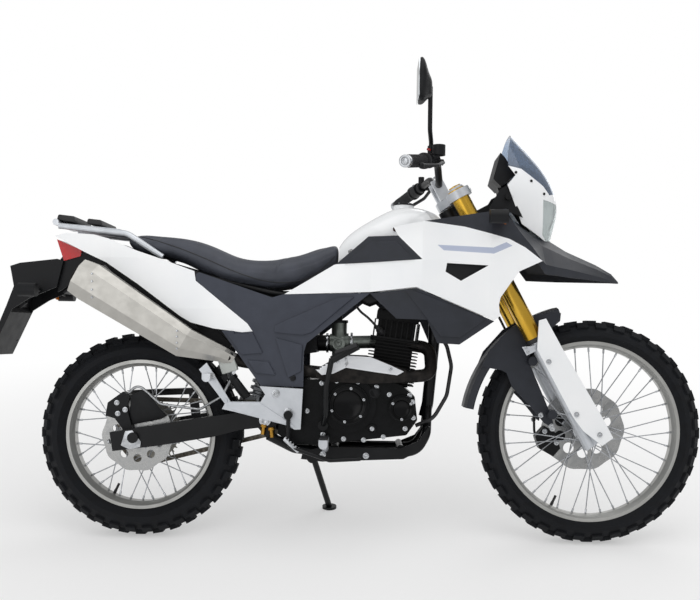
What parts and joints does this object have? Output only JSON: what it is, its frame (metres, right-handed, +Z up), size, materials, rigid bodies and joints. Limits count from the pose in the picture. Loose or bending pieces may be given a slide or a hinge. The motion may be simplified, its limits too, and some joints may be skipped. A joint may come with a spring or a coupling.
{
  "type": "dual sport motorcycle",
  "caption": "Single cylinder dual sport motorcycle with long travel fork, wire wheels with block tyres, high silencer, one-piece saddle and carrier, leaning on its side stand.",
  "frame": {"origin": "on the ground under the middle of the whole bike", "axes": "+X forward, +Y to the left side, +Z up from the ground; the bike leans to its left"},
  "size_m": [2.191, 0.8186, 1.432],
  "materials": {
    "tyre": "block rubber",
    "rim_grey": "satin anodised",
    "spoke_steel": "satin",
    "disc_steel": "ground",
    "chain_steel": "oiled",
    "frame_black": "satin black",
    "engine_black": "black crackle",
    "header_steel": "blackened",
    "silencer_steel": "brushed",
    "fork_gold": "gold anodised",
    "cast_silver": "satin",
    "white_plastic": "gloss white",
    "tank_white": "gloss white",
    "slate_plastic": "grained",
    "black_plastic": "black",
    "light_strip": "clear white",
    "lamp_red": "clear red",
    "lamp_glass": "clear",
    "screen_smoke": "smoked",
    "bar_black": "black",
    "grip_rubber": "moulded",
    "peg_metal": "satin",
    "shock_metal": "painted spring",
    "brake_black": "black",
    "seat_vinyl": "grained vinyl"
  },
  "bodies": {
    "frame": {"airbox": "black_plastic", "beak": "slate_plastic", "carburettor": "cast_silver", "carrier": "cast_silver", "chain": "chain_steel", "chain_guard": "black_plastic", "crankcase": "engine_black", "cylinder": "engine_black", "dark_panels": "slate_plastic", "dashboard": "black_plastic", "engine_sprocket": "disc_steel", "exhaust_header": "header_steel", "foot_controls": "frame_black", "footpeg_hangers": "frame_black", "footpegs": "peg_metal", "fuel_tank": "tank_white", "header_shield": "silencer_steel", "headlamp_cowl": "white_plastic", "headlamp_lens": "lamp_glass", "indicators": "black_plastic", "inner_mudguard": "black_plastic", "light_strips": "light_strip", "main_frame": "frame_black", "oil_hoses": "grip_rubber", "rear_brake_hose": "grip_rubber", "rear_caliper": "brake_black", "rear_mudguard": "black_plastic", "rear_shock": "shock_metal", "seat": "seat_vinyl", "side_panels": "slate_plastic", "silencer": "silencer_steel", "skid_plate": "black_plastic", "swingarm": "frame_black", "tail_fairings": "white_plastic", "tail_lamp": "lamp_red", "tank_shrouds": "white_plastic", "windscreen": "screen_smoke"},
    "steering": {"yokes": "cast_silver", "fork_tubes": "fork_gold", "fork_legs": "cast_silver", "front_axle": "disc_steel", "handlebar": "bar_black", "grips": "grip_rubber", "hand_controls": "black_plastic", "mirror": "black_plastic", "front_mudguard": "slate_plastic", "fork_guards": "white_plastic", "front_caliper": "brake_black", "front_brake_hose": "grip_rubber"},
    "front_wheel": {"front_tyre": "tyre", "front_rim": "rim_grey", "front_spokes": "spoke_steel", "front_disc": "disc_steel"},
    "rear_wheel": {"rear_tyre": "tyre", "rear_rim": "rim_grey", "rear_spokes": "spoke_steel", "rear_disc": "disc_steel", "rear_sprocket": "disc_steel"},
    "side_stand": {"side_stand": "frame_black"}
  },
  "joints": [
    {"name": "steering", "type": "hinge", "parent": "frame", "child": "steering", "pos_m": [0.3235, -0.0203, 0.97316], "axis": [-0.4802, 0.1523, 0.8638], "range_deg": [-38, 38]},
    {"name": "front_wheel_spin", "type": "hinge", "parent": "steering", "child": "front_wheel", "pos_m": [0.7515, -0.1316, 0.3419], "axis": [0, 0.9848, -0.1736], "continuous": true},
    {"name": "rear_wheel_spin", "type": "hinge", "parent": "frame", "child": "rear_wheel", "pos_m": [-0.6355, -0.13716, 0.31039], "axis": [0, 0.9848, -0.1736], "continuous": true},
    {"name": "side_stand_fold", "type": "hinge", "parent": "frame", "child": "side_stand", "pos_m": [-0.1135, -0.0243, 0.21331], "axis": [0, 0.9848, 0.1736], "range_deg": [0, 100]}
  ]
}
